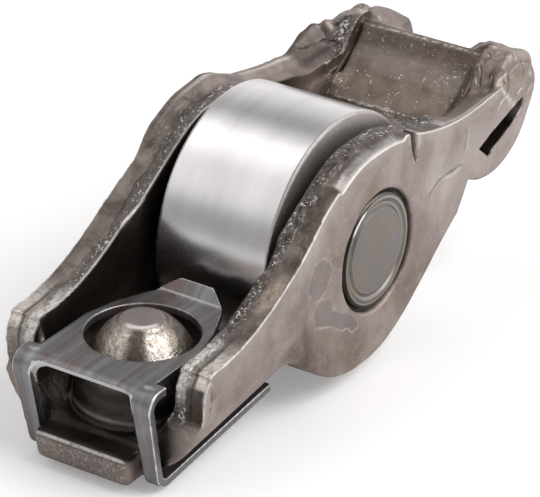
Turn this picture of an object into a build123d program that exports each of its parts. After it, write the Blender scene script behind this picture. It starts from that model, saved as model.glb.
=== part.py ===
"""Roller finger follower: a pressed steel lever with a needle-mounted cam roller,
a drawn ball socket at the pivot end, a guided valve pad at the other end and a
spring clip that keeps the lash adjuster's head in the socket.

Frame: origin on the roller axis, +X toward the valve end, +Y across, +Z up.
All sizes in millimetres.
"""
import os
from math import asin, atan2, cos, degrees, hypot, pi, radians, sin, tan

from build123d import *

os.makedirs("parts", exist_ok=True)

# ---------------------------------------------------------------- sizes
roller_d = 17.0          # cam roller, outside
roller_w = 8.4           # cam roller, face width
roller_edge = 0.3        # chamfer on the roller's corners
pin_d = 7.8              # roller pin
needle_d = 1.6           # rolling needles
needle_len = 7.7
race_play = 0.04         # total radial play between pin, needles and ring
needle_gap = 0.03        # least gap between neighbouring needles

wall_gap = 10.0          # between the two side walls
sheet = 2.25             # side wall thickness
front_flare = 0.25       # the walls at the pivot end stand this much further apart
arm_front = 20.3         # roller axis to the front end of the side walls
arm_rear = 18.2          # roller axis to the rear end of the side walls
crest_h = 7.4            # top of the side walls above the roller axis
boss_r = 7.5             # rounded lower edge of the walls round the pin
bore_edge = 0.25         # countersink round the pin bore

socket_x = 15.75         # roller axis to the ball socket's axis
web_low = 7.1            # underside of the web below the roller axis, at the socket
web_t = 2.15             # web thickness
web_slope = 6.7          # the web rises toward the roller by this angle
bend_r = 5.6             # outside radius of the trough's lower corners
ball_r = 3.2             # ball socket
dome_r = 4.33            # outside of the drawn dome
crown_r = 1.55           # flat crown on the dome
crown_h = 0.11           # crown above the roller axis
tongue_w = 7.1           # tongue that stands out through the clip
tongue_out = 2.1         # tongue beyond the walls' front end

stem_gap = 5.8           # between the two valve guide lugs
lug_in = 0.2             # the lugs lie this much inside the walls' outer face
pad_r = 6.7              # hollow on top of the valve pad
pad_t = 2.2              # valve pad thickness
slit_w = 0.35            # slit between the pad and the wall

clip_t = 0.55            # spring sheet
clip_w = 10.3            # clip over its two upper front corners
clip_low_w = 9.8         # clip over its lower plate
clip_top = 0.94          # top plate's upper face below the roller axis
clip_hole_r = 3.66       # hole round the dome
window_w = 7.7           # window in front, for the tongue
window_turn = 22         # degrees round the upper bend where the window starts
neck_w = 5.2             # fork that takes the adjuster's neck

# ---------------------------------------------------------------- sizes that follow
inner_half = wall_gap / 2
outer_half = inner_half + sheet
front_half = outer_half + front_flare
roller_r = roller_d / 2
pin_r = pin_d / 2
needle_r = needle_d / 2
needle_circle = pin_r + needle_r + race_play / 2
race_r = pin_r + needle_d + race_play
needle_count = int(pi / asin((needle_r + needle_gap / 2) / needle_circle))
slope = radians(web_slope)
web_end = -(roller_r + 1.1)
tall = 3 * roller_d


def web_under(x):
    """Height of the web's underside at x."""
    return -web_low + (x + socket_x) * tan(slope)


# the trough's cross-section is drawn square to the sloping web
web_plane = Plane(
    origin=(-socket_x, 0, -web_low),
    x_dir=(0, 1, 0),
    z_dir=(cos(slope), 0, sin(slope)),
)

# ---------------------------------------------------------------- lever body
# cross-section of the trough at the pivot end, outside and inside
with BuildPart() as trough_outside:
    with BuildSketch(web_plane) as outside_section:
        with Locations((0, tall / 2)):
            Rectangle(2 * front_half, tall)
        fillet(outside_section.vertices().group_by(Axis.Y)[0], radius=bend_r)
    extrude(amount=tall, both=True)

with BuildPart() as trough_inside:
    with BuildSketch(web_plane) as inside_section:
        with Locations((0, web_t + tall / 2)):
            Rectangle(wall_gap + 2 * front_flare, tall)
        fillet(inside_section.vertices().group_by(Axis.Y)[0], radius=bend_r - web_t)
    extrude(amount=tall, both=True)

# everything outside the trough that has to go from the front half
with BuildPart() as trough_trim:
    with Locations((web_end, 0, 0)):
        Box(tall, tall, tall, align=(Align.MAX, Align.CENTER, Align.CENTER))
    add(trough_outside.part, mode=Mode.SUBTRACT)

with BuildPart() as trough_core:
    with Locations((web_end, 0, 0)):
        Box(tall, tall, tall, align=(Align.MAX, Align.CENTER, Align.CENTER))
    add(trough_inside.part, mode=Mode.INTERSECT)

# the walls in plan: a little wider round the socket than round the roller
with BuildPart() as plan_shape:
    with BuildSketch(Plane.XY.offset(-tall / 2)):
        with BuildLine():
            rear = arm_rear + 6
            step_front = web_end + 0.4
            step_rear = step_front + 3.4
            Polyline((rear, 0), (rear, outer_half), (step_rear, outer_half))
            Spline(
                (step_rear, outer_half),
                (step_front, front_half),
                tangents=((-1, 0), (-1, 0)),
            )
            Polyline(
                (step_front, front_half),
                (-arm_front - 8, front_half),
                (-arm_front - 8, 0),
                (rear, 0),
            )
        make_face()
        mirror(about=Plane.XZ)
    extrude(amount=tall)

lug_top = crest_h + 0.1
lug_rear = arm_rear + 1.9
notch_x = roller_r + 2.8

with BuildPart() as lever:
    # side view of the arm: the top edge runs up from the socket, over the pin and on
    with BuildSketch(Plane.XZ):
        with BuildLine():
            nose_top = (-arm_front + 1.7, 0.0)
            low_run = (-arm_front + 5.7, 0.7)
            shoulder = (-crest_h * 1.24, crest_h * 0.46)
            before = (-crest_h * 0.62, crest_h * 0.84)
            crest = (0.0, crest_h)
            after = (crest_h * 0.62, crest_h * 0.88)
            dip = (notch_x - 0.5, crest_h - 2.0)
            rise = (arm_rear - 1.9, crest_h - 1.6)
            ThreePointArc(
                (-arm_front, -1.7),
                (-arm_front + 0.5, -0.5),
                nose_top,
            )
            Spline(
                nose_top,
                (-arm_front + 3.4, 0.15),
                low_run,
                shoulder,
                before,
                (-crest_h * 0.3, crest_h * 0.975),
                crest,
                (crest_h * 0.3, crest_h * 0.975),
                after,
                (crest_h * 1.05, crest_h * 0.77),
                dip,
                (notch_x + 2.4, crest_h - 1.85),
                rise,
            )
            tail = (arm_rear, crest_h - 3.3)
            ThreePointArc(rise, (arm_rear - 0.5, crest_h - 2.1), tail)
            Polyline(
                tail,
                (arm_rear - 0.1, crest_h - 3.6),
                (arm_rear - 3.2, crest_h - 4.4),
                (notch_x + 1.2, crest_h - 5.2),
                (notch_x, 0.6),
                (roller_r + 1.4, -boss_r * 0.2),
            )
            boss_low = (-boss_r * 0.26, -boss_r)
            boss_front = (web_end + 1.4, -boss_r * 0.66)
            Spline(
                (roller_r + 1.4, -boss_r * 0.2),
                (boss_r * 0.75, -boss_r * 0.6),
                (boss_r * 0.44, -boss_r * 0.81),
                (boss_r * 0.1, -boss_r * 0.96),
                boss_low,
                (-boss_r * 0.65, -boss_r * 0.93),
                boss_front,
                (web_end, -boss_r * 0.52),
            )
            Polyline(
                (web_end, -boss_r * 0.52),
                (web_end, -boss_r - 4),
                (-arm_front, -boss_r - 4),
                (-arm_front, -1.7),
            )
        make_face()
    extrude(amount=front_half + 2, both=True)
    add(plan_shape.part, mode=Mode.INTERSECT)
    add(trough_trim.part, mode=Mode.SUBTRACT)
    add(trough_core.part, mode=Mode.SUBTRACT)
    with Locations((web_end, 0, 0)):
        Box(
            tall,
            wall_gap,
            tall,
            align=(Align.MIN, Align.CENTER, Align.CENTER),
            mode=Mode.SUBTRACT,
        )

# tongue that carries the clip
with BuildPart() as tongue:
    with BuildSketch(Plane.XZ):
        root_x = -arm_front + 3
        tip_x = -arm_front - tongue_out
        with BuildLine():
            Polyline(
                (root_x, web_under(root_x)),
                (tip_x + 0.35, web_under(tip_x + 0.35)),
                (tip_x, web_under(tip_x) + web_t),
                (root_x, web_under(root_x) + web_t),
                close=True,
            )
        make_face()
    extrude(amount=tongue_w / 2, both=True)
    fillet(tongue.faces().sort_by(Axis.X)[0].edges(), radius=0.35)

# drawn dome: outside as a turned shape, the ball's seat cut from below
with BuildPart() as dome:
    with BuildSketch(Plane.XZ):
        base_z = web_under(-socket_x)
        ball_z = base_z + web_t + 0.55
        flank_r = dome_r * 0.6
        with BuildLine():
            Polyline(
                (-socket_x, base_z + 0.6),
                (-socket_x + dome_r + 0.2, base_z + 0.6),
                (-socket_x + dome_r + 0.2, base_z + web_t),
            )
            RadiusArc(
                (-socket_x + dome_r + 0.2, base_z + web_t),
                (-socket_x + dome_r - 0.05, base_z + web_t + 0.35),
                0.3,
            )
            Line(
                (-socket_x + dome_r - 0.05, base_z + web_t + 0.35),
                (-socket_x + dome_r - 0.05, ball_z + dome_r * 0.14),
            )
            ThreePointArc(
                (-socket_x + dome_r - 0.05, ball_z + dome_r * 0.14),
                (-socket_x + dome_r * 0.795, ball_z + dome_r * 0.485),
                (-socket_x + flank_r, ball_z + dome_r * 0.8),
            )
            Polyline(
                (-socket_x + flank_r, ball_z + dome_r * 0.8),
                (-socket_x + crown_r, crown_h),
                (-socket_x, crown_h),
                (-socket_x, base_z + 0.6),
            )
        make_face()
    revolve(axis=Axis((-socket_x, 0, 0), (0, 0, 1)), revolution_arc=360)

with BuildPart() as ball_space:
    with Locations((-socket_x, 0, ball_z)):
        Sphere(ball_r)
    with Locations((-socket_x, 0, ball_z)):
        Cylinder(ball_r, web_low, align=(Align.CENTER, Align.CENTER, Align.MAX))
    with Locations((-socket_x, 0, base_z)):
        Cone(
            ball_r + 0.9,
            ball_r,
            0.9,
            align=(Align.CENTER, Align.CENTER, Align.MIN),
        )

# valve end: pad web across the walls, and a folded guide lug on either side
pad_near = (notch_x + 1.5, 2.8)
pad_far = (arm_rear - 1.33, 6.6)
chord = hypot(pad_far[0] - pad_near[0], pad_far[1] - pad_near[1])
rise_angle = atan2(pad_far[1] - pad_near[1], pad_far[0] - pad_near[0])
ridge = (pad_far[0] + 0.55, pad_far[1] + 0.02)
centre_off = (pad_r**2 - chord**2 / 4) ** 0.5
pad_cx = (pad_near[0] + pad_far[0]) / 2 - centre_off * sin(rise_angle)
pad_cz = (pad_near[1] + pad_far[1]) / 2 + centre_off * cos(rise_angle)


def on_pad(radius, fraction):
    """Point at the given radius about the pad's centre, 0 = near edge, 1 = far edge."""
    half = asin(chord / 2 / pad_r)
    angle = rise_angle - pi / 2 + half * (2 * fraction - 1)
    return (pad_cx + radius * cos(angle), pad_cz + radius * sin(angle))


with BuildPart() as pad:
    with BuildSketch(Plane.XZ):
        with BuildLine():
            ThreePointArc(on_pad(pad_r, 0), on_pad(pad_r, 0.5), on_pad(pad_r, 1))
            Polyline(
                on_pad(pad_r, 1),
                ridge,
                on_pad(pad_r + pad_t, 1),
            )
            ThreePointArc(
                on_pad(pad_r + pad_t, 1),
                on_pad(pad_r + pad_t, 0.5),
                on_pad(pad_r + pad_t, 0),
            )
            Line(on_pad(pad_r + pad_t, 0), on_pad(pad_r, 0))
        make_face()
    extrude(amount=inner_half + 0.4, both=True)

with BuildPart() as lugs:
    with BuildSketch(Plane.XZ.offset(-stem_gap / 2)):
        with BuildLine():
            back = (lug_rear, crest_h - 2.9)
            top_arc = TangentArc(back, (lug_rear - 2.75, lug_top - 0.2), tangent=(0, 1))
            head_arc = TangentArc(
                (lug_rear - 2.75, lug_top - 0.2),
                (lug_rear - 5.05, lug_top - 1.3),
                tangent=top_arc % 1,
            )
            low_arc = TangentArc(back, (lug_rear - 5.7, -0.85), tangent=(0, -1))
            TangentArc(
                (lug_rear - 5.7, -0.85),
                (lug_rear - 8.5, 0.3),
                tangent=low_arc % 1,
            )
            Line((lug_rear - 5.05, lug_top - 1.3), (lug_rear - 8.5, 0.3))
        make_face()
    extrude(amount=-(outer_half - lug_in - stem_gap / 2))
    lug_rim = lugs.faces().sort_by(Axis.Y)[-1].edges().filter_by(GeomType.LINE, reverse=True)
    fillet(lug_rim, radius=0.7)
    mirror(about=Plane.XZ)

# over the pad's ends the lugs fall away toward the ridge
with BuildPart() as lug_slope:
    with BuildSketch(Plane.YZ.offset(pad_near[0])):
        with BuildLine():
            Polyline(
                (stem_gap / 2 - 0.5, ridge[1] - 0.5),
                (stem_gap / 2 + 0.5, ridge[1] - 0.25),
                (stem_gap / 2 + 1.3, lug_top - 0.5),
                (stem_gap / 2 + 2.3, lug_top - 0.05),
                (stem_gap / 2 + 2.3, lug_top + 2),
                (stem_gap / 2 - 0.5, lug_top + 2),
                close=True,
            )
        make_face()
        mirror(about=Plane.YZ)
    extrude(amount=tall)

with BuildPart() as pad_space:
    with BuildSketch(Plane.XZ):
        with BuildLine():
            ThreePointArc(on_pad(pad_r, 0), on_pad(pad_r, 0.5), on_pad(pad_r, 1))
            Polyline(
                on_pad(pad_r, 1),
                ridge,
                (pad_far[0] + 1.4, lug_top + 3),
                (notch_x, lug_top + 3),
                (notch_x, pad_near[1]),
                on_pad(pad_r, 0),
            )
        make_face()
    extrude(amount=inner_half, both=True)

with BuildPart() as pad_slits:
    with BuildSketch(Plane.XZ.offset(-(inner_half - slit_w))):
        with BuildLine():
            ThreePointArc(on_pad(pad_r - 1, 0.3), on_pad(pad_r - 1, 0.65), on_pad(pad_r - 1, 1))
            Line(on_pad(pad_r - 1, 1), on_pad(pad_r + 1.2, 1))
            ThreePointArc(on_pad(pad_r + 1.2, 1), on_pad(pad_r + 1.2, 0.65), on_pad(pad_r + 1.2, 0.3))
            Line(on_pad(pad_r + 1.2, 0.3), on_pad(pad_r - 1, 0.3))
        make_face()
    extrude(amount=-slit_w)
    mirror(about=Plane.XZ)

# the closed slot seen in the side of each lug
with BuildPart() as lug_slots:
    with BuildSketch(Plane.XZ.offset(-(outer_half - sheet))):
        with BuildLine():
            Polyline(
                (arm_rear - 0.1, crest_h - 3.55),
                (arm_rear + 0.35, crest_h - 4.1),
                (arm_rear + 0.2, crest_h - 4.5),
                (arm_rear - 1.2, crest_h - 5.3),
                (arm_rear - 2.9, crest_h - 5.9),
                (notch_x + 3.1, crest_h - 6.15),
                (notch_x + 2.9, crest_h - 6.55),
                (notch_x + 1.3, crest_h - 5.25),
                (notch_x + 2.5, crest_h - 4.75),
                (arm_rear - 3.2, crest_h - 4.4),
                close=True,
            )
        make_face()
    extrude(amount=-2 * sheet)
    mirror(about=Plane.XZ)

with BuildPart() as pin_bore:
    with Locations(Plane.XZ):
        Cylinder(pin_r, 4 * outer_half)
    for side in (1, -1):
        with Locations(Location((0, side * outer_half, 0), (-90 * side, 0, 0))):
            Cone(
                pin_r,
                pin_r + 2 * bore_edge,
                2 * bore_edge,
                align=(Align.CENTER, Align.CENTER, Align.CENTER),
            )

with BuildPart() as lever_body:
    add(lever.part)
    add(tongue.part)
    add(dome.part)
    add(lugs.part)
    add(lug_slope.part, mode=Mode.SUBTRACT)
    add(pad_space.part, mode=Mode.SUBTRACT)
    add(pad.part)
    add(ball_space.part, mode=Mode.SUBTRACT)
    add(pad_slits.part, mode=Mode.SUBTRACT)
    add(lug_slots.part, mode=Mode.SUBTRACT)
    add(pin_bore.part, mode=Mode.SUBTRACT)

# ---------------------------------------------------------------- roller and needles
with BuildPart() as roller:
    with Locations(Plane.XZ):
        Cylinder(roller_r, roller_w)
    chamfer(roller.edges(), length=roller_edge)
    with Locations(Plane.XZ):
        Cylinder(race_r, 2 * roller_w, mode=Mode.SUBTRACT)
    bore_rims = roller.edges().filter_by(GeomType.CIRCLE).sort_by(SortBy.RADIUS)[:2]
    chamfer(bore_rims, length=0.3)

with BuildPart() as roller_pin:
    pin_half = outer_half - 0.12
    with Locations(Plane.XZ):
        Cylinder(pin_r, 2 * pin_half)
    chamfer(roller_pin.edges().filter_by(GeomType.CIRCLE), length=0.15)
    for side in (1, -1):
        # ring pressed into each end when the pin was staked
        with Locations(Location((0, side * pin_half, 0), (-90 * side, 0, 0))):
            Torus(pin_r * 0.8, 0.22, mode=Mode.SUBTRACT)

needles = []
for number in range(needle_count):
    turn = 2 * pi * number / needle_count
    with BuildPart() as needle:
        with Locations(
            Location((needle_circle * cos(turn), 0, needle_circle * sin(turn)), (90, 0, 0))
        ):
            Cylinder(needle_r, needle_len)
        chamfer(needle.edges().filter_by(GeomType.CIRCLE), length=0.15)
    needles.append(needle)

# ---------------------------------------------------------------- retaining clip
top_mid = -clip_top - clip_t / 2
front_top_x = -arm_front - 1.95
low_front_x = -arm_front - 0.4
crease_x = -socket_x + 5.15
low_end_x = -roller_r - 0.3


def clip_under(x):
    """Middle of the clip's lower plate, which lies against the web's underside."""
    return web_under(x) - clip_t / 2 / cos(slope)


with BuildPart() as retaining_clip:
    with BuildSketch(Plane.XZ):
        with BuildLine() as clip_path:
            FilletPolyline(
                (crease_x + 0.95, top_mid + 0.9),
                (crease_x, top_mid),
                (front_top_x, top_mid),
                (low_front_x, clip_under(low_front_x)),
                (low_end_x, clip_under(low_end_x)),
                radius=clip_t * 1.5,
            )
        trace(clip_path.edges(), line_width=clip_t)
    extrude(amount=clip_w / 2, both=True)
    # top plate in plan: straight past the hole, then drawn in to the rear tongue
    with BuildSketch(Plane.XY.offset(-clip_top - 2 * clip_t)):
        with BuildLine():
            plate_half = clip_hole_r + 0.68
            far_x = low_end_x + 6
            Polyline(
                (-arm_front - 0.2, clip_w),
                (-arm_front - 0.2, plate_half),
                (-socket_x, plate_half),
                (-socket_x + 2.3, plate_half * 0.87),
                (crease_x - 0.6, plate_half * 0.63),
                (crease_x, plate_half * 0.55),
                (crease_x + 1.2, plate_half * 0.15),
                (far_x, plate_half * 0.15),
                (far_x, clip_w),
                close=True,
            )
        make_face()
        mirror(about=Plane.XZ)
    extrude(amount=tall, mode=Mode.SUBTRACT)
    with Locations((-socket_x, 0, top_mid)):
        Cylinder(clip_hole_r, 4 * clip_t, mode=Mode.SUBTRACT)
    # seen from the front it narrows from the upper corners to the lower plate
    with BuildSketch(Plane.YZ.offset(-arm_front - 8)):
        with BuildLine():
            Polyline(
                (clip_w / 2, -clip_top - 2 * clip_t),
                (clip_low_w / 2, -web_low - clip_t),
                (clip_low_w / 2, -tall),
                (clip_w, -tall),
                (clip_w, -clip_top - 2 * clip_t),
                close=True,
            )
        make_face()
        mirror(about=Plane.YZ)
    extrude(amount=tall, mode=Mode.SUBTRACT)

# window in front: its upper edge lies part way round the upper bend
with BuildPart() as window:
    with BuildSketch(Plane.XZ):
        with BuildLine():
            bend_x = front_top_x + clip_t * 1.5
            bend_z = top_mid - clip_t * 1.5
            start = radians(window_turn)
            window_back = low_front_x + 0.75
            Polyline(
                (bend_x, bend_z),
                (bend_x - 4 * sin(start), bend_z + 4 * cos(start)),
                (bend_x - 8, bend_z + 4 * cos(start)),
                (bend_x - 8, -web_low - 5),
                (window_back, -web_low - 5),
                (window_back, -web_low + 1),
                close=True,
            )
        make_face()
    extrude(amount=window_w / 2, both=True)
    fillet(window.edges().filter_by(Axis((0, 0, 0), (-sin(start), 0, cos(start)))), radius=1.0)

# fork for the adjuster's neck in the lower plate
with BuildPart() as fork:
    with BuildSketch(Plane.XY.offset(-web_low - 4)):
        with Locations((-socket_x, 0)):
            Circle(ball_r + 0.5)
        with Locations((-socket_x, 0)):
            Rectangle(tall, neck_w, align=(Align.MIN, Align.CENTER))
    extrude(amount=6)

with BuildPart() as clip_done:
    add(retaining_clip.part)
    add(window.part, mode=Mode.SUBTRACT)
    add(fork.part, mode=Mode.SUBTRACT)

# ---------------------------------------------------------------- pieces
lever_body.part.label = "lever_body"
clip_done.part.label = "retaining_clip"
roller.part.label = "roller"
roller_pin.part.label = "roller_pin"
export_step(lever_body.part, "parts/lever_body.step")
export_step(clip_done.part, "parts/retaining_clip.step")
export_step(roller.part, "parts/roller.step")
export_step(roller_pin.part, "parts/roller_pin.step")
for number, needle in enumerate(needles, start=1):
    needle.part.label = f"needle_{number:02d}"
    export_step(needle.part, f"parts/needle_{number:02d}.step")
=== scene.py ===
# %% [markdown]
# # A roller finger follower in Blender
# The part is a pressed steel lever with a roller on needles, a ball socket at one
# end and a valve pad at the other. The CAD model comes first, as a fixed frame: every
# new piece stands exactly where its solid stands, and turns with the same body.

# %% load the frame
import math

import bpy
import numpy as np
from mathutils import Matrix, Vector


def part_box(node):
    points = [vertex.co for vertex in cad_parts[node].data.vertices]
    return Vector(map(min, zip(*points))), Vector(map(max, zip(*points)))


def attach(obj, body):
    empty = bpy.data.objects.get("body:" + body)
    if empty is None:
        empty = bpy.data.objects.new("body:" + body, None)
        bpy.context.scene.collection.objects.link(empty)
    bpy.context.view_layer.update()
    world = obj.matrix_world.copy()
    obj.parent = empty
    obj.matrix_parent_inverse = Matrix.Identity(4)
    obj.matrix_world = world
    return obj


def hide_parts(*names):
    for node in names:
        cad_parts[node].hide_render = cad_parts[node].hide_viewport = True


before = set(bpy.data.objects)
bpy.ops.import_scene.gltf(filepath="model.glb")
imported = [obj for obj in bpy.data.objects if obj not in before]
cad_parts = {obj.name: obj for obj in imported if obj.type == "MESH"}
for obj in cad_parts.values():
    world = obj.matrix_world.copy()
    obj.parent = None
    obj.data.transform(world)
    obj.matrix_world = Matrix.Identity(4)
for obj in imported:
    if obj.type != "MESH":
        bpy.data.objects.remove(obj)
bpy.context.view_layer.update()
MM = 0.001

# %% places on the lever that several cells share, in mm
dome_x = -15.75               # the dome's middle
pad_x, pad_z = 10.676, 9.154  # the axis about which the pad is curved
notch_x = 4.20                # the notch in the near wall
step_x = -9.6                 # the bend in the floor behind the dome
table_z = -8.5                # the roller's lowest point
print("from the dome to the roller's axis:", -dome_x, "mm")

# %% [markdown]
# ## The camera and the table
# The lever is small, so it is seen through a long lens from nearly a quarter of a metre.
# The camera's three axes follow from the direction it looks in.

# %% camera
look_at = np.array([-5.5602, -2.6229, 1.2210]) * MM
azimuth, elevation, tilt = -0.988495, 0.485956, 0.010267
distance = 227.086
back = np.array([
    math.sin(azimuth) * math.cos(elevation),
    -math.cos(azimuth) * math.cos(elevation),
    math.sin(elevation),
])
right = np.cross(-back, [0, 0, 1])
right /= np.linalg.norm(right)
up = np.cross(right, -back)
right, up = (math.cos(tilt) * right + math.sin(tilt) * up,
             math.cos(tilt) * up - math.sin(tilt) * right)
bpy.ops.object.select_all(action="DESELECT")
bpy.ops.object.camera_add()
camera = bpy.context.object
camera.name = "camera"
camera.data.lens = 240
camera.data.sensor_fit = "HORIZONTAL"
camera.data.sensor_width = 36
camera.data.clip_start = 0.01
place = look_at + back * distance * MM
camera.matrix_world = Matrix([
    [right[i], up[i], back[i], place[i]] for i in range(3)
] + [[0, 0, 0, 1]])
bpy.context.scene.camera = camera
print("camera stands at", [round(v / MM, 1) for v in place], "mm")

# %% [markdown]
# ## Shader arithmetic
# A pattern such as a worn edge is a sum of noises and masks. Written as nodes by hand
# that takes dozens of lines, so one small class lets Python's own + - * / build the
# Math nodes, and one method makes any other node from its type, settings and sockets.


# %% sockets that can be added and multiplied
class Reading:
    """A node's output, which arithmetic turns into more nodes."""

    def __init__(self, finish, socket):
        self.finish, self.socket = finish, socket

    def maths(self, operation, first, second=0.0, clamp=False):
        return self.finish.node("ShaderNodeMath", {"operation": operation, "use_clamp": clamp},
                                {0: first, 1: second})

    def __add__(self, other):
        return self.maths("ADD", self, other)

    def __sub__(self, other):
        return self.maths("SUBTRACT", self, other)

    def __rsub__(self, other):
        return self.maths("SUBTRACT", other, self)

    def __mul__(self, other):
        return self.maths("MULTIPLY", self, other)

    def __truediv__(self, other):
        return self.maths("DIVIDE", self, other)

    def __pow__(self, other):
        return self.maths("POWER", self, other)

    __radd__, __rmul__ = __add__, __mul__

    def between(self, low, high):
        """0 at low, 1 at high, a straight line between and flat beyond; low may be the larger."""
        return self.maths("MULTIPLY", self - low, 1 / (high - low), clamp=True)

    def least(self, other):
        return self.maths("MINIMUM", self, other)

    def most(self, other):
        return self.maths("MAXIMUM", self, other)

    def size(self):
        return self.maths("ABSOLUTE", self)


# %% a finish is a material being built
class Finish:
    """A Principled material whose patterns are measured in millimetres."""

    def __init__(self, name):
        self.material = bpy.data.materials.new(name)
        self.material.use_nodes = True
        self.tree = self.material.node_tree
        self.tree.nodes.clear()
        self.at = self.node("ShaderNodeVectorMath", {"operation": "SCALE"},
                            {0: self.node("ShaderNodeTexCoord", {}, {}, "Object"), "Scale": 1000.0})

    def node(self, kind, settings, sockets, output=0):
        made = self.tree.nodes.new(kind)
        for key, value in settings.items():
            if key == "stops":
                ramp = made.color_ramp
                while len(ramp.elements) < len(value):
                    ramp.elements.new(0.5)
                for stop, (position, colour) in zip(ramp.elements, value):
                    stop.position, stop.color = position, (*colour, 1)
            else:
                setattr(made, key, value)
        for key, value in sockets.items():
            if isinstance(value, Reading):
                self.tree.links.new(value.socket, made.inputs[key])
            else:
                made.inputs[key].default_value = value
        return Reading(self, made.outputs[output])

    def parts(self, vector):
        """The x, y and z of a vector."""
        split = self.node("ShaderNodeSeparateXYZ", {}, {0: vector}).socket.node
        return [Reading(self, split.outputs[i]) for i in range(3)]

    def vector(self, x, y, z):
        return self.node("ShaderNodeCombineXYZ", {}, {0: x, 1: y, 2: z})

    def stretched(self, x, y, z, turn=(0, 0, 0), shift=(0, 0, 0)):
        """Object position in mm, turned and then scaled, for grain that runs one way."""
        return self.node("ShaderNodeMapping", {}, {"Vector": self.at, "Location": shift,
                                                   "Rotation": turn, "Scale": (x, y, z)})

    def moved(self, *shift):
        """Object position moved by so many mm, so that two noises don't agree."""
        return self.stretched(1, 1, 1, shift=shift)

    def noise(self, scale, detail=3.0, rough=0.55, at=None, warp=0.0):
        return self.node("ShaderNodeTexNoise", {},
                         {"Vector": at or self.at, "Scale": scale, "Detail": detail,
                          "Roughness": rough, "Distortion": warp})

    def painted(self, name):
        """A number stored on the mesh's points."""
        return self.node("ShaderNodeAttribute", {"attribute_name": name}, {}, "Fac")

    def blend(self, amount, below, above):
        """Colour `above` over `below` by an amount from 0 to 1."""
        below = below if isinstance(below, Reading) else (*below, 1)
        above = above if isinstance(above, Reading) else (*above, 1)
        return self.node("ShaderNodeMix", {"data_type": "RGBA"}, {0: amount, 6: below, 7: above}, 2)

    def coats(self, colour, *coats):
        """Lays coats over a colour, each with its amount from 0 to 1 and its own colour."""
        for amount, above in coats:
            colour = self.blend(amount, colour, above)
        return colour

    def relief(self, height, millimetres):
        """A bump normal from a height from 0 to 1 that stands for so many mm."""
        return self.node("ShaderNodeBump", {}, {"Height": height, "Distance": millimetres * MM})

    def finish(self, colour, roughness, normal=None, **fixed):
        sockets = {"Base Color": colour, "Roughness": roughness}
        if normal:
            sockets["Normal"] = normal
        sockets.update({key.replace("_", " "): value for key, value in fixed.items()})
        surface = self.node("ShaderNodeBsdfPrincipled", {}, sockets)
        out = self.tree.nodes.new("ShaderNodeOutputMaterial")
        self.tree.links.new(surface.socket, out.inputs["Surface"])
        return self.material


# %% [markdown]
# ## Steels
# The lever is pressed, case-hardened and tumbled: its skin is a dull grey-brown with
# clouds of tan, olive and violet, and its folds and rims are rubbed bright and carry
# painted highlights. The edges that the press cut are smooth and brown where the punch
# slid, and coarse, dark and glinting where the metal tore; the glints are painted
# highlights and the near wall's darker rim is painted shade. Numbers on the mesh's points
# say where an edge stands out, where a corner is deep and painted in shade, where the
# metal was cut, and what lies inside the trough, which is painted in shade.

# %% colour of the lever's skin
def apart(a, b):
    """The distance that two offsets at right angles make."""
    return (a * a + b * b) ** 0.5


tumbled = Finish("tumbled_lever_steel")
x, y, z = tumbled.parts(tumbled.at)
across = y.size()
noise, moved, blend = tumbled.noise, tumbled.moved, tumbled.blend
cloud = noise(0.20, 4, 0.58, warp=0.6)
stain = noise(0.60, 5, 0.6, moved(7, 3, 5), 0.8)
violet = noise(0.42, 4, 0.6, moved(31, 17, 9), 0.5)
grit = noise(7.0, 4, 0.7)
skin = tumbled.node("ShaderNodeValToRGB", {"stops": [
    (0.32, (0.210, 0.160, 0.136)),
    (0.45, (0.305, 0.245, 0.218)),
    (0.56, (0.385, 0.322, 0.300)),
    (0.72, (0.450, 0.390, 0.372)),
]}, {"Fac": cloud})
# Painted shade: the far lug's shoulder is painted dark, and the painted highlights are taken off
# it.
shaded_far_shoulder = y.between(5.3, 6.1) * x.between(10.9, 11.8)
shaded_far_shoulder = shaded_far_shoulder * x.between(15.4, 14.6) * z.between(4.2, 5.0)
behind_pin = x.between(2, 8) * z.between(-4, 0) * z.between(4.4, 2.4)
worn = noise(1.5, 5, 0.65, moved(11, 29, 2), 1.2)
skin = tumbled.coats(
    skin,
    (shaded_far_shoulder * 0.72, (0.120, 0.098, 0.088)),
    (stain.between(0.50, 0.70) * 0.5, (0.300, 0.235, 0.165)),
    (violet.between(0.52, 0.70) * 0.6, (0.225, 0.180, 0.185)),
    (grit.between(0.40, 0.75) * 0.20, (0.560, 0.500, 0.470)),
    (behind_pin * 0.32, (0.640, 0.565, 0.550)),
    (worn.between(0.56, 0.66) * 0.35, (0.520, 0.455, 0.420)),
)

# %% seams where the lugs' metal folded over itself
seam = noise(0.50, 1, 0.4, moved(17, 5, 8), 0.9) - 0.5
seam = seam.size().between(0.060, 0.0)
seam = seam * x.between(14, 15.5) * across.between(5.0, 5.3) * z.between(2.0, 3.5)
# The seams are drawn a little lighter, as a faint painted highlight.
skin = blend(seam * 0.12, skin, (0.820, 0.765, 0.725))

# %% flats that the press left beside the pin
def flat_mark(points, radius):
    """Distance in mm from a rounded mark between two (x, z) points; negative inside."""
    (ax, az), (bx, bz) = points
    length = (bx - ax) ** 2 + (bz - az) ** 2
    along = ((x - ax) * (bx - ax) + (z - az) * (bz - az)).between(0, length)
    dx, dz = x - ax - along * (bx - ax), z - az - along * (bz - az)
    return apart(dx, dz) - radius


wander = (noise(0.9, 3, 0.5) - 0.5) * 0.9
marks = flat_mark([(-7.05, 0.95), (-6.95, 1.0)], 1.38)
marks = marks.least(flat_mark([(-6.8, -1.45), (-6.4, -1.6)], 1.0).least(
    flat_mark([(-6.2, -2.0), (-2.75, -4.05)], 0.55)))
marks = marks + wander
outer_face = across.between(6.95, 7.1)
flat = marks.between(0.06, -0.06) * outer_face
rim = (0.16 - marks.size()).between(0.04, 0.13) * outer_face * stain.between(0.36, 0.58)
skin = blend(flat * 0.55, skin, (0.235, 0.200, 0.195))

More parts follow.
